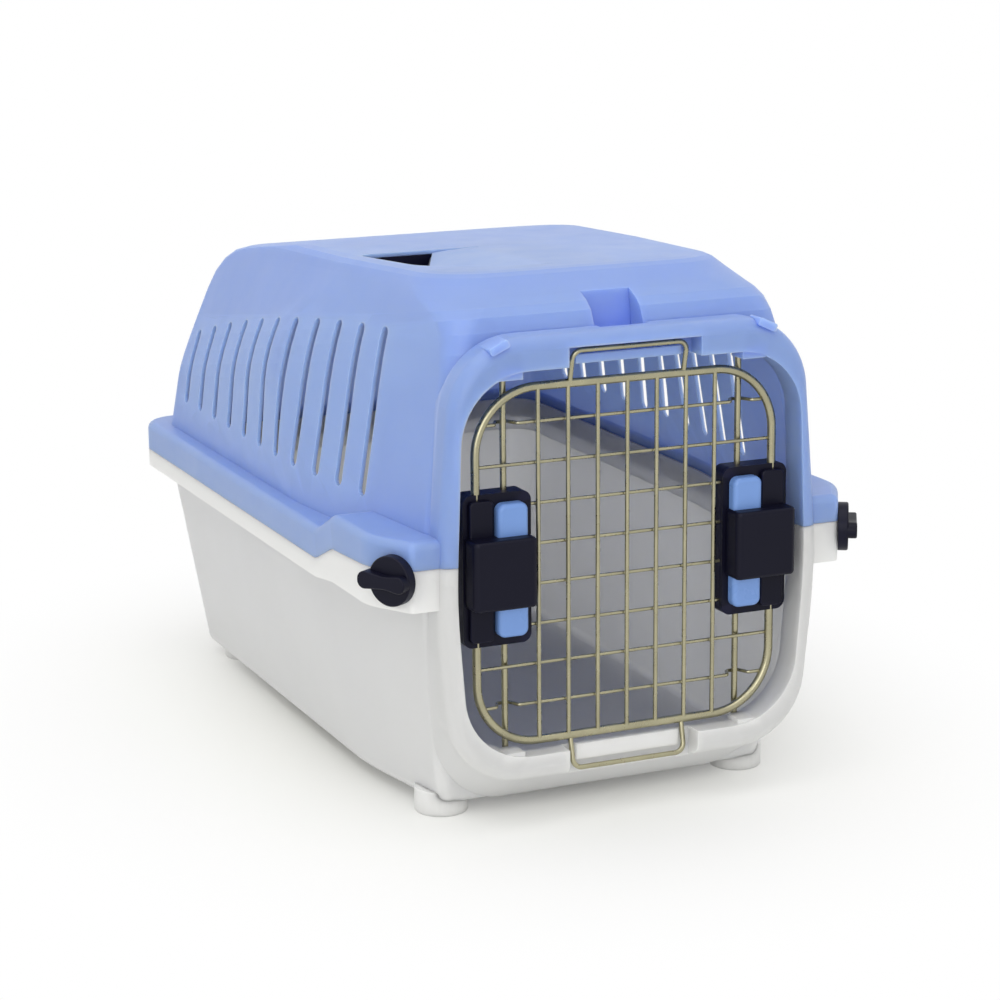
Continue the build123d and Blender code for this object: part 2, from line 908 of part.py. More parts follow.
def make_grip_liner():
    """The dark liner under the grip, seen along the grip's edge."""
    return on_roof(solid_of(grip_sheet(wall, liner_thickness, 2 * hand_slit, -grip_root, liner_reach)))


def cup_plan(grow):
    """The hand cup's plan shape, grown outwards."""
    left = hand_left_x - cup_wall - grow
    right = cup_reach_x + grow
    near = hand_front - cup_wall - grow
    far = hand_back + cup_wall + grow
    return rounded_polygon([(left, near), (right, near), (right, far), (left, far)], [cup_corner + grow] * 4)


def cup_screw_places():
    """The cup's four screw positions on its rim, as points on the roof."""
    mid = cup_rim / 2
    near = hand_front - cup_wall - mid
    far = hand_back + cup_wall + mid
    return [(x, y) for x in (cup_reach_x, cup_screw_left_x) for y in (near, far)]


def make_handle_cup():
    """The dark cup under the finger opening, with a rim against the roof's underside."""
    top = -wall
    cup = extrude(level(cup_plan(0), top - cup_depth), cup_depth)
    cup = fillet(cup.edges().group_by(Axis.Z)[0], cup_floor_radius)
    cup += extrude(level(cup_plan(cup_rim), top - cup_wall), cup_wall)
    hollow = extrude(level(cup_plan(-cup_wall), top - cup_depth + cup_wall), cup_depth + 5)
    cup -= fillet(hollow.edges().group_by(Axis.Z)[0], cup_floor_radius - cup_wall / 2)
    return on_roof(cup - cup_screw_holes())


def screw(place, length):
    """A pan head screw standing on a plane, its shank pointing along the plane's normal."""
    head = extrude(place * Circle(screw_head_radius), -screw_head_height)
    return head + extrude(place * Circle(screw_radius), length)


def cup_screw_shapes():
    """The cup's four screws, drawn flat under the roof."""
    z = -wall - cup_wall
    return [screw(Plane(origin=(x, y, z)), cup_wall + wall - 0.8) for x, y in cup_screw_places()]


def cup_screw_holes():
    """The holes of the cup's four screws."""
    z = -wall - cup_wall - 1
    places = cup_screw_places()
    cuts = [rod((x, y, z), (x, y, z + cup_wall + wall + 0.2), screw_radius) for x, y in places]
    return cuts[0] + cuts[1] + cuts[2] + cuts[3]


def make_feet(stack):
    """Four round feet under the tub, fitted against its sloping walls."""
    feet = []
    for side in mirror_sides:
        for back in (foot_front, foot_rear):
            x = side * foot_x
            y = door_y + back
            foot = rod((x, y, 0), (x, y, foot_height + foot_sink), foot_radius)
            foot = fillet(foot.edges().group_by(Axis.Z)[0], 1.5)
            feet.append(foot - stack)
    return Compound(children=[solid_of(f) for f in feet])


def front_plane(y):
    """A drawing plane facing the front, with Z upwards."""
    return Plane(origin=(0, y, 0), x_dir=(1, 0, 0), z_dir=(0, -1, 0))


def ring_height():
    """The height of the door's ring between its wire centres."""
    return ring_top_z - ring_bottom_z


def make_door_ring():
    """The door's outer wire ring."""
    path = (front_plane(door_y) * Pos(0, (ring_top_z + ring_bottom_z) / 2)) * RectangleRounded(
        2 * ring_half_width, ring_height(), ring_corner
    )
    start = Plane(origin=(0, door_y, ring_top_z), x_dir=(0, 1, 0), z_dir=(1, 0, 0))
    return sweep(start * Circle(ring_wire / 2), path=path.wire())


def make_uprights():
    """The upright wires of the grille, butted into the ring."""
    first = -(upright_count - 1) / 2
    wires = []
    for index in range(upright_count):
        x = (first + index) * upright_pitch
        y = door_y + upright_offset
        wires.append(rod((x, y, ring_bottom_z), (x, y, ring_top_z), upright_wire / 2))
    return Compound(children=wires)


def ring_reach(z):
    """The ring's half width at a height."""
    over = max(z - (ring_top_z - ring_corner), (ring_bottom_z + ring_corner) - z, 0)
    return ring_half_width - ring_corner + math.sqrt(ring_corner ** 2 - over ** 2)


def bent_wire(points, bend, radius):
    """A wire along a bent line."""
    line = Polyline(*points)
    corners = line.vertices()[1:-1]
    path = fillet_path(line, corners, bend)
    start = Plane(origin=path @ 0, z_dir=path % 0)
    return sweep(start * Circle(radius), path=path)


def fillet_path(line, corners, bend):
    """A bent line with its inner corners rounded."""
    return Wire(line.edges()).fillet_2d(bend, corners)


def guide_wire(z):
    """A crosswire that passes round behind both latch rods to guide them."""
    y = door_y + cross_offset
    y_behind = rod_y + rod_radius + cross_wire / 2 + rod_front_gap
    near = rod_x - rod_radius - cross_wire / 2 - kink_gap
    far = rod_x + rod_radius + cross_wire / 2 + kink_gap
    right = [(near - kink_slant, y, z), (near, y_behind, z), (far, y_behind, z), (far + kink_slant, y, z)]
    left = [(-p, q, r) for p, q, r in reversed(right)]
    reach = ring_reach(z)
    return bent_wire([(-reach, y, z)] + left + right + [(reach, y, z)], cross_wire, cross_wire / 2)


def make_crosswires():
    """The level wires of the grille; those beside the latches end in the latch bodies."""
    y = door_y + cross_offset
    wires = []
    for index in range(cross_count):
        z = cross_first_z + index * cross_pitch
        if index in (0, cross_count - 1):
            wires.append(solid_of(guide_wire(z)))
        else:
            at_latch = latch_low_z < z < latch_high_z
            reach = latch_inner_x + cross_bite if at_latch else ring_reach(z)
            wires.append(rod((-reach, y, z), (reach, y, z), cross_wire / 2))
    return Compound(children=wires)


def make_loop(z_root, z_end):
    """A wire loop welded on the ring, leaning forward in front of a lip."""
    points = [
        (-loop_half_width, door_y, z_root), (-loop_half_width, loop_front_y, z_end),
        (loop_half_width, loop_front_y, z_end), (loop_half_width, door_y, z_root),
    ]
    return bent_wire(points, loop_bend, loop_wire / 2)


def both_ends(shape):
    """A shape above the latch's middle together with its copy below."""
    return shape + lower_copy(shape)


def lower_copy(shape):
    """The mirror copy of a shape below the latch's middle."""
    return mirror(shape, about=Plane(origin=(0, 0, latch_mid_z), z_dir=(0, 0, 1)))


def other_side(shape):
    """The mirror copy of a shape on the carrier's left side."""
    return mirror(shape, about=Plane.YZ)


def ring_channel():
    """Room for the ring where it runs through a latch."""
    x = ring_half_width
    return rod((x, door_y, latch_low_z - 1), (x, door_y, latch_high_z + 1), ring_wire / 2 + channel_gap)


def latch_screw_places():
    """Where the two screws of one latch stand."""
    return [latch_low_z + latch_screw_inset, latch_high_z - latch_screw_inset]


def latch_screw_shapes():
    """The two screws that join a latch's halves, heads to the rear."""
    y = door_y + back_depth
    shapes = []
    for z in latch_screw_places():
        place = Plane(origin=(latch_screw_x, y, z), z_dir=(0, -1, 0))
        shapes.append(screw(place, back_depth + latch_screw_bite))
    return shapes


def latch_screw_holes():
    """The holes for a latch's two screws."""
    y0 = door_y - latch_screw_bite
    y1 = door_y + back_depth + 1
    places = latch_screw_places()
    cuts = [rod((latch_screw_x, y0, z), (latch_screw_x, y1, z), screw_radius) for z in places]
    return cuts[0] + cuts[1]


def make_latch_body():
    """The rear half of the right latch: it holds the rods, the springs and the ring."""
    y0 = door_y + gap / 2
    body = box(latch_inner_x, latch_outer_x, y0, door_y + back_depth, latch_low_z, latch_high_z)
    body = fillet(body.edges().filter_by(Axis.Y), latch_corner)
    half = back_bulge_half_height
    bulge = box(
        latch_inner_x + 2, latch_outer_x - 2, y0 + 1, door_y + back_depth + back_bulge,
        latch_mid_z - half, latch_mid_z + half,
    )
    bulge = fillet(bulge.faces().sort_by(Axis.Y)[-1].edges(), back_bulge - 1)
    body += bulge
    room = neck_width / 2 + slide_gap
    z0 = latch_mid_z + middle_rib / 2
    z1 = latch_high_z - neck_end_inset + slide_gap
    cavity = box(rod_x - room, rod_x + room, y0 - 1, rod_y + neck_behind + slide_gap, z0, z1)
    cavity += rod((rod_x, rod_y, z0), (rod_x, rod_y, latch_mid_z + spring_room), spring_radius + spring_wire)
    cavity += rod((rod_x, rod_y, z0), (rod_x, rod_y, latch_high_z + 1), rod_radius + gap)
    body -= both_ends(cavity)
    return body - ring_channel() - latch_screw_holes()


def make_latch_cover():
    """The front half of the right latch: plate, side arm and the block over the button ends."""
    y1 = door_y - gap / 2
    plate = box(latch_inner_x, latch_outer_x, plate_y - gap / 2, y1, latch_low_z, latch_high_z)
    plate = fillet(plate.edges().filter_by(Axis.Y), latch_corner)
    arm = box(
        arm_inner_x, arm_outer_x, door_y - arm_proud, y1,
        latch_low_z + arm_end_inset, latch_high_z - arm_end_inset,
    )
    arm = fillet(arm.edges().filter_by(Axis.Y), latch_corner / 2)
    arm = fillet(arm.faces().sort_by(Axis.Y)[0].edges(), arm_edge_radius)
    block = box(block_inner_x, block_outer_x, cover_face_y, y1, block_low_z, block_high_z)
    block = fillet(block.edges().filter_by(Axis.Z), block_corner)
    block = fillet(block.faces().sort_by(Axis.Y)[0].edges(), block_edge_radius)
    cover = plate + arm + block
    half = button_width / 2 + slide_gap
    tunnel = box(
        rod_x - half, rod_x + half, door_y - button_proud - slide_gap, plate_y - gap / 2,
        block_low_z - 1, block_high_z + 1,
    )
    cover -= tunnel
    room = neck_width / 2 + slide_gap
    z0 = latch_high_z - neck_end_inset - neck_height - latch_travel - slide_gap
    z1 = latch_high_z - neck_end_inset + slide_gap
    cover -= both_ends(box(rod_x - room, rod_x + room, plate_y - 1, y1 + 1, z0, z1))
    return cover - ring_channel() - latch_screw_holes()


def make_upper_button():
    """The right latch's upper button with the neck that drives its rod."""
    y1 = plate_y - gap
    z0 = block_high_z - button_under_cover
    z1 = latch_high_z - button_end_inset
    half = button_width / 2
    button = box(rod_x - half, rod_x + half, door_y - button_proud, y1, z0, z1)
    outer = button.edges().filter_by(Axis.Y).group_by(Axis.Z)[-1]
    button = fillet(outer, button_end_radius)
    front = button.faces().sort_by(Axis.Y)[0].edges().group_by(Axis.Z)[1:]
    button = fillet([e for group in front for e in group], button_round)
    neck = box(
        rod_x - neck_width / 2, rod_x + neck_width / 2, y1 - 1, rod_y + neck_behind,
        latch_high_z - neck_end_inset - neck_height, latch_high_z - neck_end_inset,
    )
    hole = rod((rod_x, rod_y, latch_mid_z), (rod_x, rod_y, latch_high_z + 1), rod_radius)
    return button + neck - hole


def rod_end():
    """The height of an upper rod's tip."""
    return opening_top_z + rod_engage


def rod_tail():
    """The height of an upper rod's inner end, at the neck's inner face."""
    return latch_high_z - neck_end_inset - neck_height


def make_rod(z0, z1):
    """A latch rod with its tip slightly rounded."""
    bar = rod((rod_x, rod_y, z0), (rod_x, rod_y, z1), rod_radius)
    return chamfer(bar.edges().group_by(Axis.Z)[-1 if z1 > z0 else 0], rod_tip_chamfer)


def make_spring():
    """The right latch's upper spring, between the middle rib and the button's neck."""
    z0 = latch_mid_z + middle_rib / 2 + spring_wire / 2
    z1 = rod_tail() - spring_wire / 2
    path = Helix(pitch=(z1 - z0) / spring_turns, height=z1 - z0, radius=spring_radius - spring_wire / 2)
    start = Plane(origin=path @ 0, z_dir=path % 0)
    coil = sweep(start * Circle(spring_wire / 2), path=path, is_frenet=True)
    return Pos(rod_x, rod_y, z0) * coil


def make_knob():
    """The right knob: a round disc, a waisted grip bar across it and the stem through the ear."""
    x0 = ear_half + gap
    x1 = x0 + knob_disc
    disc = rod((x0, knob_y, knob_z), (x1, knob_y, knob_z), knob_radius)
    disc = fillet(disc.edges().group_by(Axis.X)[-1], knob_edge_radius)
    front = knob_y - knob_radius
    rear = knob_y + knob_radius + knob_bar_overhang
    end = knob_bar_end / 2
    waist = knob_bar_waist / 2
    points = [
        (front, knob_z - end), (knob_y, knob_z - waist), (rear, knob_z - end),
        (rear, knob_z + end), (knob_y, knob_z + waist), (front, knob_z + end),
    ]
    corner = end - 1
    corners = [corner, 4 * end, corner, corner, 4 * end, corner]
    bar = side_prism(points, corners, x1 - knob_disc / 2, x0 + knob_thickness)
    bar = fillet(bar.edges().group_by(Axis.X)[-1], knob_edge_radius)
    stem = rod((x0 + 1, knob_y, knob_z), (cam_face_x(), knob_y, knob_z), stem_radius)
    return on_ear(disc + bar + stem - knob_screw_hole())


def cam_face_x():
    """Where the cam meets the knob's stem."""
    return ear_half - wall - cam_gap


def make_cam():
    """The right knob's cam: a round block with two flats, wide across the keyhole's throat."""
    x0 = cam_face_x() - cam_length
    cam = rod((x0, knob_y, knob_z), (cam_face_x(), knob_y, knob_z), cam_radius)
    cam &= box(x0, cam_face_x(), knob_y - 20, knob_y + 20, knob_z - cam_half_flat, knob_z + cam_half_flat)
    head = rod((x0 - 1, knob_y, knob_z), (x0 + screw_head_height, knob_y, knob_z), screw_head_radius)
    return on_ear(cam - head - knob_screw_hole())


def knob_screw_hole():
    """The hole of the screw that holds cam and stem together."""
    x0 = cam_face_x() - cam_length - 1
    return rod((x0, knob_y, knob_z), (cam_face_x() + knob_screw_bite, knob_y, knob_z), screw_radius)


def make_knob_screw():
    """The screw that holds the right cam on its stem, its head sunk in the cam."""
    x0 = cam_face_x() - cam_length + screw_head_height
    place = Plane(origin=(x0, knob_y, knob_z), z_dir=(1, 0, 0))
    return on_ear(screw(place, cam_length - screw_head_height + knob_screw_bite))


def make_hinge_pin():
    """The right hinge pin, between its two lugs."""
    half = hinge_ear_gap / 2 + hinge_ear_thickness
    return hinge_axis(hinge_spread_x - half, hinge_spread_x + half, hinge_pin_radius)


def write(name, shape):
    """One piece saved as a step file."""
    export_step(shape, os.path.join("parts", name + ".step"))


def write_pair(name, shape):
    """A piece for the right side and its mirror copy for the left."""
    write(name + "_right", shape)
    write(name + "_left", other_side(shape))


def write_all():
    """Every piece of the carrier."""
    os.makedirs("parts", exist_ok=True)
    stack = shell_stack(0)
    outer = outer_body(stack)
    cabin = cabin_void()
    channel = channel_void(stack)
    write("lower_tub", solid_of(make_lower_tub(outer, cabin, channel)))
    write("upper_shell", solid_of(make_upper_shell(outer, cabin, channel)))
    write("feet", make_feet(stack))
    write("handle_cup", solid_of(make_handle_cup() & cabin))
    write("grip_liner", make_grip_liner())
    write("handle_screws", on_roof(Compound(children=cup_screw_shapes())))
    write("door_ring", make_door_ring())
    write("door_uprights", make_uprights())
    write("door_crosswires", make_crosswires())
    write("door_loop_top", make_loop(ring_top_z - 1, loop_top_z))
    write("door_loop_bottom", make_loop(ring_bottom_z + 1, loop_bottom_z))
    write_pair("latch_body", make_latch_body())
    write_pair("latch_cover", make_latch_cover())
    write_pair("latch_screws", Compound(children=latch_screw_shapes()))
    button = make_upper_button()
    write_pair("button_upper", button)
    write_pair("button_lower", lower_copy(button))
    write_pair("rod_upper", make_rod(rod_tail(), rod_end()))
    low_tail = 2 * latch_mid_z - rod_tail()
    write_pair("rod_lower", make_rod(low_tail, opening_bottom_z - rod_engage))
    spring = make_spring()
    write_pair("spring_upper", spring)
    write_pair("spring_lower", lower_copy(spring))
    write_pair("knob", make_knob())
    write_pair("knob_cam", make_cam())
    write_pair("knob_screw", make_knob_screw())
    write_pair("hinge_pin", make_hinge_pin())


write_all()
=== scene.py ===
import math

import bmesh
import bpy
from mathutils import Matrix, Vector


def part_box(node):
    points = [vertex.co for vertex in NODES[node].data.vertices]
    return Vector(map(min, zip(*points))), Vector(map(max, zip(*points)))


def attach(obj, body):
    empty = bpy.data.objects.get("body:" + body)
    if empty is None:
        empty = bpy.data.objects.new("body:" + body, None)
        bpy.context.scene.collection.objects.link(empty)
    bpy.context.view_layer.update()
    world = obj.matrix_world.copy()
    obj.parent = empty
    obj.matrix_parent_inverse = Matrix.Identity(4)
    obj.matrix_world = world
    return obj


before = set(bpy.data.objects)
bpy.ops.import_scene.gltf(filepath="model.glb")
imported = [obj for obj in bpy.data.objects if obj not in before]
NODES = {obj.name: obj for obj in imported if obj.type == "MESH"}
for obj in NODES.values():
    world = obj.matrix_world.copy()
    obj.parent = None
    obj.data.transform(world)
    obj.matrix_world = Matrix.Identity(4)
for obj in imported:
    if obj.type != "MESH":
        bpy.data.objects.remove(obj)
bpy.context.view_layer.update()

bl_info = {
    "name": "Pet carrier dressing",
    "version": (1, 0, 0),
    "blender": (4, 5, 0),
    "location": "View3D > Sidebar > Pet carrier",
    "description": "Finishes, small trim and studio stage for the pet carrier",
    "category": "Object",
}

CAMERA_PLACE = (-0.74381, -1.73314, 0.60029)
CAMERA_YAW = 23.8023
CAMERA_PITCH = 13.4796
CAMERA_ROLL = -0.45194
SENSOR_WIDTH = 36.0

KEY_SIZE = 2.6
KEY_PLACE = (-0.5, -0.6, 2.6)
KEY_TARGET = (0.0, 0.0, 0.1)
FILL_SIZE = 1.6
FILL_PLACE = (-1.3, -2.6, 0.9)
FILL_TARGET = (0.0, 0.0, 0.12)
WORLD_STRENGTH = 0.62

FLOOR_ROUGHNESS = 0.6
FADE_START = 0.1
FADE_END = 0.5
FADE_STRETCH = (1.25, 1.0, 1.0)
WHITE = (1.0, 1.0, 1.0, 1.0)

PLASTIC_IOR = 1.49
NOISE_LOW = 0.3
NOISE_HIGH = 0.7
EDGE_LOW = 0.52
EDGE_HIGH = 0.6
GRAIN_STRENGTH = 0.6
STREAK_STRENGTH = 0.5
NAVY_SPECULAR = 0.16
TUB_POLISH = 0.04

WIRE_COLUMNS = 7
WIRE_ROWS = 8
CROSSWIRE_RADIUS = 0.0011
BEAD_SINK = 0.1
BEAD_STRETCH = (1.25, 0.7, 1.15)


class CarrierFinish(bpy.types.PropertyGroup):
    """Colours and surface values of the carrier's plastics and wires."""

    shell_colour: bpy.props.FloatVectorProperty(
        name="Shell colour", description="Colour of the upper shell", subtype="COLOR", size=3,
        min=0.0, max=1.0, default=(0.235, 0.35, 0.82))
    tub_colour: bpy.props.FloatVectorProperty(
        name="Tub colour", description="Colour of the lower tub and feet", subtype="COLOR", size=3,
        min=0.0, max=1.0, default=(0.8, 0.8, 0.79))
    latch_colour: bpy.props.FloatVectorProperty(
        name="Latch colour", description="Colour of latches, knobs and hand cup", subtype="COLOR", size=3,
        min=0.0, max=1.0, default=(0.004, 0.004, 0.013))
    button_colour: bpy.props.FloatVectorProperty(
        name="Button colour", description="Colour of the latch buttons", subtype="COLOR", size=3,
        min=0.0, max=1.0, default=(0.17, 0.31, 0.67))
    wire_colour: bpy.props.FloatVectorProperty(
        name="Wire colour", description="Colour of the plated door wires", subtype="COLOR", size=3,
        min=0.0, max=1.0, default=(0.4, 0.375, 0.25))
    steel_colour: bpy.props.FloatVectorProperty(
        name="Steel colour", description="Colour of screws, pins and springs", subtype="COLOR", size=3,
        min=0.0, max=1.0, default=(0.5, 0.5, 0.5))
    shell_roughness: bpy.props.FloatProperty(
        name="Shell roughness", description="How matt the moulded shells are", subtype="FACTOR",
        min=0.0, max=1.0, default=0.42)
    glow_through: bpy.props.FloatProperty(
        name="Light through the walls", description="How much light the thin shells scatter to the inside",
        subtype="FACTOR", min=0.0, max=1.0, default=0.85)
    glow_depth: bpy.props.FloatProperty(
        name="Scatter depth", description="How deep light reaches into the plastic", subtype="DISTANCE",
        unit="LENGTH", min=0.0, max=0.05, default=0.014)
    grain_height: bpy.props.FloatProperty(
        name="Grain height", description="Depth of the fine moulded grain", subtype="DISTANCE",
        unit="LENGTH", min=0.0, max=0.001, default=0.00006)


class StageSettings(bpy.types.PropertyGroup):
    """Floor, lamps and camera of the studio stage."""

    floor_colour: bpy.props.FloatVectorProperty(
        name="Floor colour", description="Colour of the pale floor", subtype="COLOR", size=3,
        min=0.0, max=1.0, default=(0.93, 0.93, 0.895))
    floor_size: bpy.props.FloatProperty(
        name="Floor size", description="Width of the round floor", subtype="DISTANCE", unit="LENGTH",
        min=1.0, max=40.0, default=12.0)
    key_power: bpy.props.FloatProperty(
        name="Key lamp", description="Power of the large lamp overhead",
        min=0.0, max=500.0, default=30.0)
    fill_power: bpy.props.FloatProperty(
        name="Fill lamp", description="Power of the lamp beside the camera",
        min=0.0, max=500.0, default=18.0)
    lens: bpy.props.FloatProperty(
        name="Lens", description="Focal length for a 36 mm wide frame", min=10.0, max=300.0, default=100.59)


def rgba(colour):
    """A colour with full cover."""
    return (colour[0], colour[1], colour[2], 1.0)


def new_group(name, inputs, outputs):
    """An empty shader node group with its sockets, and its input and output nodes."""
    group = bpy.data.node_groups.new(name, "ShaderNodeTree")
    for label, kind, default in inputs:
        socket = group.interface.new_socket(name=label, in_out="INPUT", socket_type=kind)
        socket.default_value = default
    for label, kind in outputs:
        group.interface.new_socket(name=label, in_out="OUTPUT", socket_type=kind)
    entry = group.nodes.new("NodeGroupInput")
    leave = group.nodes.new("NodeGroupOutput")
    return group, entry, leave


def object_noise(group, scale, detail, stretch=(1.0, 1.0, 1.0)):
    """Noise in the object's own space, which stays with the piece when it moves."""
    nodes, links = group.nodes, group.links
    place = nodes.new("ShaderNodeTexCoord")
    mapping = nodes.new("ShaderNodeMapping")
    mapping.inputs["Scale"].default_value = stretch
    noise = nodes.new("ShaderNodeTexNoise")
    noise.inputs["Scale"].default_value = scale
    noise.inputs["Detail"].default_value = detail
    links.new(place.outputs["Object"], mapping.inputs["Vector"])
    links.new(mapping.outputs["Vector"], noise.inputs["Vector"])
    return noise.outputs["Fac"]


def ranged(group, value, low, high):
    """A value between 0 and 1 spread between two bounds."""
    node = group.nodes.new("ShaderNodeMapRange")
    node.inputs["From Min"].default_value = NOISE_LOW
    node.inputs["From Max"].default_value = NOISE_HIGH
    node.inputs["To Min"].default_value = low
    node.inputs["To Max"].default_value = high
    group.links.new(value, node.inputs["Value"])
    return node.outputs["Result"]


def maths(group, operation, first, second):
    """A sum, product or similar of two values or sockets."""
    node = group.nodes.new("ShaderNodeMath")
    node.operation = operation
    for index, value in enumerate((first, second)):
        if isinstance(value, (int, float)):
            node.inputs[index].default_value = value
        else:
            group.links.new(value, node.inputs[index])
    return node.outputs[0]


def shaded(group, colour, factor):
    """A colour multiplied by a varying value."""
    node = group.nodes.new("ShaderNodeVectorMath")
    node.operation = "SCALE"
    group.links.new(colour, node.inputs[0])
    group.links.new(factor, node.inputs["Scale"])
    return node.outputs["Vector"]


def direct_sight(tree):
    """One where a surface is seen by the camera, in a gloss or through glass, and nought for its light."""
    path = tree.nodes.new("ShaderNodeLightPath")
    seen = maths(tree, "MAXIMUM", path.outputs["Is Camera Ray"], path.outputs["Is Glossy Ray"])
    return maths(tree, "MAXIMUM", seen, path.outputs["Is Transmission Ray"])


def build_moulded_grain():
    """Moulded plastic: slow tone changes, edges lightened partly as rubbed wear and partly as a painted
    highlight, and a fine grain.
    """
    group, entry, leave = new_group(
        "moulded_grain",
        [("Colour", "NodeSocketColor", (0.5, 0.5, 0.5, 1.0)), ("Tone Change", "NodeSocketFloat", 0.05),
         ("Edge Wear And Highlight", "NodeSocketFloat", 0.1), ("Roughness", "NodeSocketFloat", 0.4),
         ("Grain Height", "NodeSocketFloat", 0.00005)],
        [("Colour", "NodeSocketColor"), ("Roughness", "NodeSocketFloat"), ("Normal", "NodeSocketVector")])
    nodes, links = group.nodes, group.links
    slow = ranged(group, object_noise(group, scale=9.0, detail=2.0), low=-0.5, high=0.5)
    tone = maths(group, "ADD", maths(group, "MULTIPLY", slow, entry.outputs["Tone Change"]), 1.0)
    geometry = nodes.new("ShaderNodeNewGeometry")
    edge = nodes.new("ShaderNodeMapRange")
    edge.inputs["From Min"].default_value = EDGE_LOW
    edge.inputs["From Max"].default_value = EDGE_HIGH
    links.new(geometry.outputs["Pointiness"], edge.inputs["Value"])
    # Convex edges are made lighter in the colour: a little rubbed wear, and a painted highlight along the
    # edges.
    worn_and_lit_edge = maths(group, "MULTIPLY", edge.outputs["Result"], entry.outputs["Edge Wear And Highlight"])
    factor = maths(group, "ADD", tone, worn_and_lit_edge)
    links.new(shaded(group, entry.outputs["Colour"], factor), leave.inputs["Colour"])
    smear = ranged(group, object_noise(group, scale=40.0, detail=4.0), low=-0.05, high=0.05)
    links.new(maths(group, "ADD", entry.outputs["Roughness"], smear), leave.inputs["Roughness"])
    bump = nodes.new("ShaderNodeBump")
    bump.inputs["Strength"].default_value = GRAIN_STRENGTH
    links.new(entry.outputs["Grain Height"], bump.inputs["Distance"])
    links.new(object_noise(group, scale=1400.0, detail=3.0), bump.inputs["Height"])
    links.new(bump.outputs["Normal"], leave.inputs["Normal"])
    return group


def build_drawn_metal():
    """Drawn or turned metal: fine streaks, darker patches and an uneven polish."""
    group, entry, leave = new_group(
        "drawn_metal",
        [("Colour", "NodeSocketColor", (0.5, 0.5, 0.5, 1.0)), ("Stain", "NodeSocketFloat", 0.25),
         ("Roughness", "NodeSocketFloat", 0.3), ("Streak Height", "NodeSocketFloat", 0.00003)],
        [("Colour", "NodeSocketColor"), ("Roughness", "NodeSocketFloat"), ("Normal", "NodeSocketVector")])
    nodes, links = group.nodes, group.links
    patch = ranged(group, object_noise(group, scale=60.0, detail=5.0), low=-0.5, high=0.3)
    tone = maths(group, "ADD", maths(group, "MULTIPLY", patch, entry.outputs["Stain"]), 1.0)
    links.new(shaded(group, entry.outputs["Colour"], tone), leave.inputs["Colour"])
    uneven = ranged(group, object_noise(group, scale=220.0, detail=3.0), low=-0.07, high=0.09)
    links.new(maths(group, "ADD", entry.outputs["Roughness"], uneven), leave.inputs["Roughness"])
    bump = nodes.new("ShaderNodeBump")
    bump.inputs["Strength"].default_value = STREAK_STRENGTH
    links.new(entry.outputs["Streak Height"], bump.inputs["Distance"])
    streaks = object_noise(group, scale=900.0, detail=2.0, stretch=(1.0, 1.0, 0.15))
    links.new(streaks, bump.inputs["Height"])
    links.new(bump.outputs["Normal"], leave.inputs["Normal"])
    return group


def node_group(name):
    """A shader node group, built the first time it is asked for."""
    makers = {"moulded_grain": build_moulded_grain, "drawn_metal": build_drawn_metal}
    return bpy.data.node_groups.get(name) or makers[name]()


def base_material(name, group_name, values, metallic, colour):
    """A material with one effect group feeding its shader."""
    material = bpy.data.materials.new(name)
    material.use_nodes = True
    material.diffuse_color = rgba(colour)
    tree = material.node_tree
    shader = tree.nodes["Principled BSDF"]
    effect = tree.nodes.new("ShaderNodeGroup")
    effect.node_tree = node_group(group_name)
    effect.inputs["Colour"].default_value = rgba(colour)
    for label, value in values.items():
        effect.inputs[label].default_value = value
    shader.inputs["Metallic"].default_value = metallic
    tree.links.new(effect.outputs["Colour"], shader.inputs["Base Color"])
    tree.links.new(effect.outputs["Roughness"], shader.inputs["Roughness"])
    tree.links.new(effect.outputs["Normal"], shader.inputs["Normal"])
    return material, shader


def plastic(name, colour, roughness, grain, tone_change=0.05, edge_wear_and_highlight=0.1):
    """A moulded plastic finish."""
    values = {
        "Tone Change": tone_change, "Edge Wear And Highlight": edge_wear_and_highlight, "Roughness": roughness, "Grain Height": grain}
    material, shader = base_material(name, "moulded_grain", values, metallic=0.0, colour=colour)
    shader.inputs["IOR"].default_value = PLASTIC_IOR
    return material, shader


def metal(name, colour, roughness, stain=0.25):
    """A plain or plated metal finish."""
    values = {"Stain": stain, "Roughness": roughness}
    return base_material(name, "drawn_metal", values, metallic=1.0, colour=colour)[0]


def dress(names, material):
    """Gives carried-over nodes one finish."""
    for name in names:
        mesh = NODES[name].data
        if not mesh.materials:
            mesh.materials.append(material)
        for index in range(len(mesh.materials)):
            mesh.materials[index] = material


def both(*names):
    """The right and left node of each name."""
    return [name + side for name in names for side in ("_right", "_left")]


def mesh_piece(name, shape, body, material):
    """A finished mesh piece from a bmesh that rides on a body."""
    mesh = bpy.data.meshes.new(name)
    shape.to_mesh(mesh)
    shape.free()
    piece = bpy.data.objects.new(name, mesh)
    bpy.context.scene.collection.objects.link(piece)
    for polygon in mesh.polygons:
        polygon.use_smooth = True
    mesh.materials.append(material)
    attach(piece, body)
    return piece


class CARRIER_OT_shells(bpy.types.Operator):
    """Finish the upper shell, the lower tub and the feet"""

    bl_idname = "carrier.shells"
    bl_label = "Shells"

    def execute(self, context):
        finish = context.scene.carrier_finish
        blue, blue_shader = plastic(
            "shell_blue", finish.shell_colour, finish.shell_roughness, finish.grain_height)
        white, white_shader = plastic(
            "tub_white", finish.tub_colour, finish.shell_roughness - TUB_POLISH, finish.grain_height,
            tone_change=0.03)
        for shader in (blue_shader, white_shader):
            shader.inputs["Subsurface Weight"].default_value = finish.glow_through
            shader.inputs["Subsurface Scale"].default_value = finish.glow_depth
            shader.inputs["Subsurface Radius"].default_value = (1.0, 1.0, 1.0)
        dress(["upper_shell"], blue)
        dress(["lower_tub", "feet"], white)
        return {"FINISHED"}


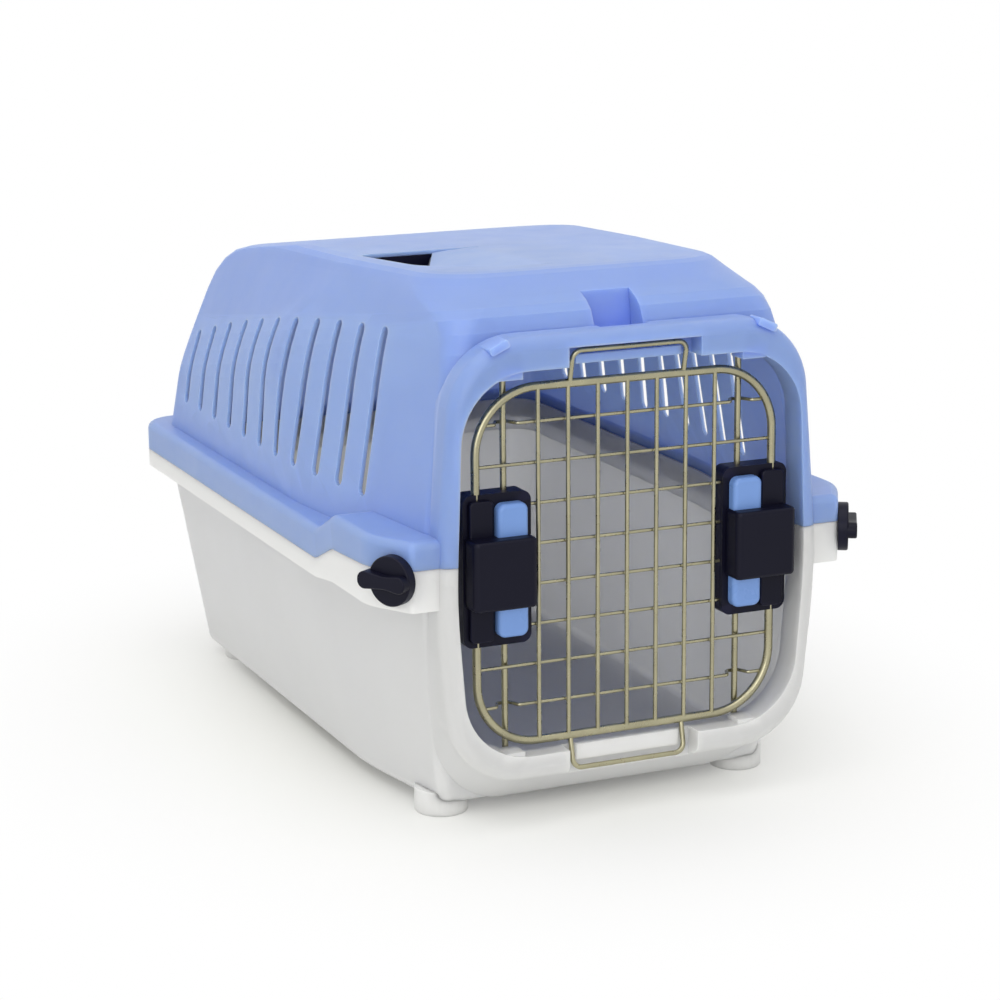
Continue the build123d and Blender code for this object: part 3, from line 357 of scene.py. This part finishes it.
class CARRIER_OT_fittings(bpy.types.Operator):
    """Finish the latches, buttons, knobs and the hand cup"""

    bl_idname = "carrier.fittings"
    bl_label = "Latches, knobs and hand cup"

    def execute(self, context):
        finish = context.scene.carrier_finish
        # The navy's strong edge lightening paints a highlight along the edges of the latches, knobs and hand
        # cup, with a little rubbed wear; the buttons get only a faint one.
        navy, shader = plastic(
            "latch_navy", finish.latch_colour, roughness=0.4, grain=finish.grain_height,
            tone_change=0.2, edge_wear_and_highlight=0.9)
        shader.inputs["Specular IOR Level"].default_value = NAVY_SPECULAR
        button = plastic(
            "button_blue", finish.button_colour, roughness=0.3, grain=finish.grain_height / 2,
            tone_change=0.04, edge_wear_and_highlight=0.12)[0]
        dress(both("latch_body", "latch_cover", "knob", "knob_cam") + ["handle_cup", "grip_liner"], navy)
        dress(both("button_upper", "button_lower"), button)
        return {"FINISHED"}


class CARRIER_OT_door_wires(bpy.types.Operator):
    """Finish the door's wires, the rods and the small steel parts, and add the weld beads"""

    bl_idname = "carrier.door_wires"
    bl_label = "Door wires"

    def execute(self, context):
        finish = context.scene.carrier_finish
        plated = metal("plated_wire", finish.wire_colour, roughness=0.3)
        steel = metal("bright_steel", finish.steel_colour, roughness=0.28, stain=0.15)
        dress(["door_ring", "door_uprights", "door_crosswires", "door_loop_top", "door_loop_bottom"], plated)
        dress(both("rod_upper", "rod_lower"), plated)
        small = both("latch_screws", "spring_upper", "spring_lower", "knob_screw", "hinge_pin")
        dress(small + ["handle_screws"], steel)
        add_weld_beads(plated)
        return {"FINISHED"}


def add_weld_beads(material):
    """Small flattened beads where the crosswires are welded to the uprights."""
    low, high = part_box("door_uprights")
    cross_low, cross_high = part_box("door_crosswires")
    radius = (high.y - low.y) / 2
    first_x = low.x + radius
    step_x = (high.x - low.x - 2 * radius) / (WIRE_COLUMNS - 1)
    first_z = cross_low.z + CROSSWIRE_RADIUS
    step_z = (cross_high.z - cross_low.z - 2 * CROSSWIRE_RADIUS) / (WIRE_ROWS - 1)
    stretch = Vector(BEAD_STRETCH)
    shape = bmesh.new()
    for column in range(WIRE_COLUMNS):
        for row in range(WIRE_ROWS):
            place = Vector((first_x + column * step_x, high.y + radius * BEAD_SINK, first_z + row * step_z))
            made = bmesh.ops.create_icosphere(shape, subdivisions=2, radius=radius)
            for vertex in made["verts"]:
                vertex.co = place + vertex.co * stretch
    mesh_piece("weld_beads", shape, "door", material)


class CARRIER_OT_stage(bpy.types.Operator):
    """Set up the pale floor, the soft lamps and the camera"""

    bl_idname = "carrier.stage"
    bl_label = "Studio stage"

    def execute(self, context):
        settings = context.scene.carrier_stage
        add_floor(settings)
        add_world()
        add_lamp("key_lamp", settings.key_power, KEY_SIZE, KEY_PLACE, KEY_TARGET)
        add_lamp("fill_lamp", settings.fill_power, FILL_SIZE, FILL_PLACE, FILL_TARGET)
        add_camera(settings)
        context.scene.view_settings.view_transform = "Standard"
        return {"FINISHED"}


def add_floor(settings):
    """A round pale floor that fades to plain white away from the carrier."""
    shape = bmesh.new()
    bmesh.ops.create_circle(shape, cap_ends=True, segments=96, radius=settings.floor_size / 2)
    mesh = bpy.data.meshes.new("floor")
    shape.to_mesh(mesh)
    shape.free()
    floor = bpy.data.objects.new("floor", mesh)
    bpy.context.scene.collection.objects.link(floor)
    material = bpy.data.materials.new("pale_floor")
    material.use_nodes = True
    tree = material.node_tree
    shader = tree.nodes["Principled BSDF"]
    shader.inputs["Base Color"].default_value = rgba(settings.floor_colour)
    shader.inputs["Roughness"].default_value = FLOOR_ROUGHNESS
    glow = tree.nodes.new("ShaderNodeEmission")
    glow.inputs["Color"].default_value = WHITE
    place = tree.nodes.new("ShaderNodeTexCoord")
    spread = tree.nodes.new("ShaderNodeMapping")
    spread.inputs["Scale"].default_value = FADE_STRETCH
    length = tree.nodes.new("ShaderNodeVectorMath")
    length.operation = "LENGTH"
    fade = tree.nodes.new("ShaderNodeMapRange")
    fade.interpolation_type = "SMOOTHSTEP"
    fade.inputs["From Min"].default_value = FADE_START
    fade.inputs["From Max"].default_value = FADE_END
    tree.links.new(place.outputs["Object"], spread.inputs["Vector"])
    tree.links.new(spread.outputs["Vector"], length.inputs[0])
    tree.links.new(length.outputs["Value"], fade.inputs["Value"])
    blend = tree.nodes.new("ShaderNodeMixShader")
    share = maths(tree, "MULTIPLY", fade.outputs["Result"], direct_sight(tree))
    tree.links.new(share, blend.inputs["Fac"])
    tree.links.new(shader.outputs["BSDF"], blend.inputs[1])
    tree.links.new(glow.outputs["Emission"], blend.inputs[2])
    tree.links.new(blend.outputs["Shader"], tree.nodes["Material Output"].inputs["Surface"])
    mesh.materials.append(material)


def add_world():
    """A soft grey surrounding light, seen as plain white."""
    world = bpy.data.worlds.new("studio")
    bpy.context.scene.world = world
    world.use_nodes = True
    tree = world.node_tree
    soft = tree.nodes["Background"]
    soft.inputs["Color"].default_value = WHITE
    soft.inputs["Strength"].default_value = WORLD_STRENGTH
    white = tree.nodes.new("ShaderNodeBackground")
    white.inputs["Color"].default_value = WHITE
    white.inputs["Strength"].default_value = 1.0
    blend = tree.nodes.new("ShaderNodeMixShader")
    tree.links.new(direct_sight(tree), blend.inputs["Fac"])
    tree.links.new(soft.outputs["Background"], blend.inputs[1])
    tree.links.new(white.outputs["Background"], blend.inputs[2])
    tree.links.new(blend.outputs["Shader"], tree.nodes["World Output"].inputs["Surface"])


def add_lamp(name, power, size, place, target):
    """A square soft lamp aimed at a point."""
    light = bpy.data.lights.new(name, "AREA")
    light.energy = power
    light.size = size
    lamp = bpy.data.objects.new(name, light)
    bpy.context.scene.collection.objects.link(lamp)
    lamp.location = place
    lamp.rotation_euler = (Vector(target) - Vector(place)).to_track_quat("-Z", "Y").to_euler()


def add_camera(settings):
    """The camera in front of the carrier, left of its middle and above it."""
    camera_data = bpy.data.cameras.new("camera")
    camera_data.sensor_width = SENSOR_WIDTH
    camera_data.lens = settings.lens
    camera = bpy.data.objects.new("camera", camera_data)
    bpy.context.scene.collection.objects.link(camera)
    heading = Matrix.Rotation(math.radians(-CAMERA_YAW), 4, "Z")
    tilt = Matrix.Rotation(math.pi / 2 - math.radians(CAMERA_PITCH), 4, "X")
    roll = Matrix.Rotation(math.radians(CAMERA_ROLL), 4, "Z")
    camera.matrix_world = Matrix.Translation(CAMERA_PLACE) @ heading @ tilt @ roll
    bpy.context.scene.camera = camera


class CARRIER_PT_panel(bpy.types.Panel):
    """Lists the carrier's dressing steps and values"""

    bl_label = "Pet carrier"
    bl_idname = "CARRIER_PT_panel"
    bl_space_type = "VIEW_3D"
    bl_region_type = "UI"
    bl_category = "Pet carrier"

    def draw(self, context):
        for name in FINISH_FIELDS:
            self.layout.prop(context.scene.carrier_finish, name)
        for name in STAGE_FIELDS:
            self.layout.prop(context.scene.carrier_stage, name)
        for operator in OPERATORS:
            self.layout.operator(operator.bl_idname)


FINISH_FIELDS = list(CarrierFinish.__annotations__)
STAGE_FIELDS = list(StageSettings.__annotations__)
OPERATORS = [CARRIER_OT_shells, CARRIER_OT_fittings, CARRIER_OT_door_wires, CARRIER_OT_stage]
CLASSES = [CarrierFinish, StageSettings] + OPERATORS + [CARRIER_PT_panel]


def register():
    """Registers the classes and their settings."""
    for cls in CLASSES:
        bpy.utils.register_class(cls)
    bpy.types.Scene.carrier_finish = bpy.props.PointerProperty(type=CarrierFinish)
    bpy.types.Scene.carrier_stage = bpy.props.PointerProperty(type=StageSettings)


def unregister():
    """Removes the classes and their settings."""
    del bpy.types.Scene.carrier_finish
    del bpy.types.Scene.carrier_stage
    for cls in reversed(CLASSES):
        bpy.utils.unregister_class(cls)


def main():
    """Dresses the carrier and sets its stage."""
    register()
    bpy.ops.carrier.shells()
    bpy.ops.carrier.fittings()
    bpy.ops.carrier.door_wires()
    bpy.ops.carrier.stage()


if __name__ == "__main__":
    main()
